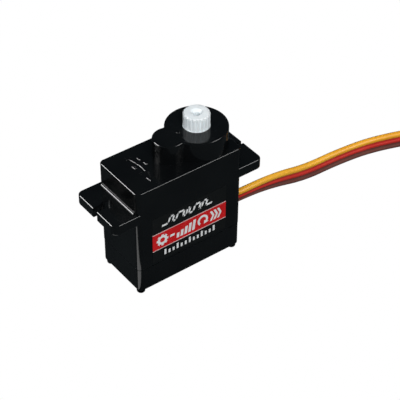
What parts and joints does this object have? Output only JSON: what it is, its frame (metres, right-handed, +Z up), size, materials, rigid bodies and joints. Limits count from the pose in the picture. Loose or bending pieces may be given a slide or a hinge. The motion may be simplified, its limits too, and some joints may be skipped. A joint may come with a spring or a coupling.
{
  "type": "servo motor",
  "caption": "Micro hobby servo: gloss black case with slotted mounting ears, toothed white output spline and a flat three-wire lead with connector.",
  "frame": {"origin": "centre of the case in plan, on the surface that the four screw heads stand on", "axes": "+X towards the output shaft and the lead, +Y away from the label face, +Z up along the output axis"},
  "size_m": [0.1009, 0.0485, 0.0307],
  "materials": {
    "case_black": "high gloss moulded black",
    "screw_steel": "black oxide",
    "label": "printed glossy film, red band",
    "nylon_white": "translucent natural nylon",
    "polished_steel": "ground",
    "brass": "turned",
    "motor_steel": "zinc plated",
    "ferrite": "sintered ferrite",
    "inner_plastic": "moulded",
    "tinned_brass": "tinned",
    "copper": "bare copper",
    "lamination": "stamped",
    "winding": "enamelled wire",
    "track": "printed carbon",
    "board": "solder mask",
    "chip": "moulded epoxy",
    "component": "surface mount",
    "lead_red": "soft insulation",
    "lead_orange": "soft insulation, orange, red and brown conductors side by side",
    "connector_black": "moulded"
  },
  "bodies": {
    "case": {"top_case": "case_black", "middle_case": "case_black", "bottom_case": "case_black", "case_screws": "screw_steel", "front_label": "label", "idler_pin": "polished_steel", "motor_can": "motor_steel", "motor_bush": "brass", "motor_magnets": "ferrite", "motor_end_cap": "inner_plastic", "motor_terminals": "tinned_brass", "motor_brushes": "copper", "pot_housing": "inner_plastic", "pot_track": "track", "pot_terminals": "tinned_brass", "circuit_board": "board", "control_chip": "chip", "driver_chip": "chip", "board_components": "component", "motor_leads": "lead_red", "pot_leads": "lead_orange", "lead_ends": "lead_orange", "lead_ribbon": "lead_orange", "lead_coil": "lead_orange", "lead_tie": "connector_black", "connector_housing": "connector_black", "connector_contacts": "tinned_brass"},
    "output": {"output_gear": "nylon_white", "pot_rotor": "polished_steel", "pot_wiper": "tinned_brass"},
    "third_reduction": {"third_gear": "nylon_white"},
    "second_reduction": {"second_gear": "nylon_white"},
    "first_reduction": {"first_gear": "nylon_white"},
    "motor_rotor": {"motor_pinion": "brass", "motor_shaft": "polished_steel", "commutator": "copper", "armature_core": "lamination", "armature_windings": "winding"}
  },
  "joints": [
    {"name": "output_turn", "type": "hinge", "parent": "case", "child": "output", "pos_m": [0.0057, 0, 0.0242], "axis": [0, 0, 1], "range_deg": [-90, 90]},
    {"name": "third_spin", "type": "hinge", "parent": "case", "child": "third_reduction", "pos_m": [-0.00046, 0, 0.0224], "axis": [0, 0, 1], "range_deg": [-247, 247]},
    {"name": "second_spin", "type": "hinge", "parent": "case", "child": "second_reduction", "pos_m": [0.0057, 0, 0.0213], "axis": [0, 0, 1], "range_deg": [-850, 850]},
    {"name": "first_spin", "type": "hinge", "parent": "case", "child": "first_reduction", "pos_m": [-0.00046, 0, 0.0203], "axis": [0, 0, 1], "range_deg": [-2934, 2934]},
    {"name": "motor_spin", "type": "hinge", "parent": "case", "child": "motor_rotor", "pos_m": [-0.00546, 0, 0.014], "axis": [0, 0, 1], "range_deg": [-13361, 13361]}
  ],
  "couplings": [
    {"joint": "third_spin", "follows": "output_turn", "ratio": -2.7273},
    {"joint": "second_spin", "follows": "output_turn", "ratio": 9.4215},
    {"joint": "first_spin", "follows": "output_turn", "ratio": -32.547},
    {"joint": "motor_spin", "follows": "output_turn", "ratio": 148.27}
  ]
}
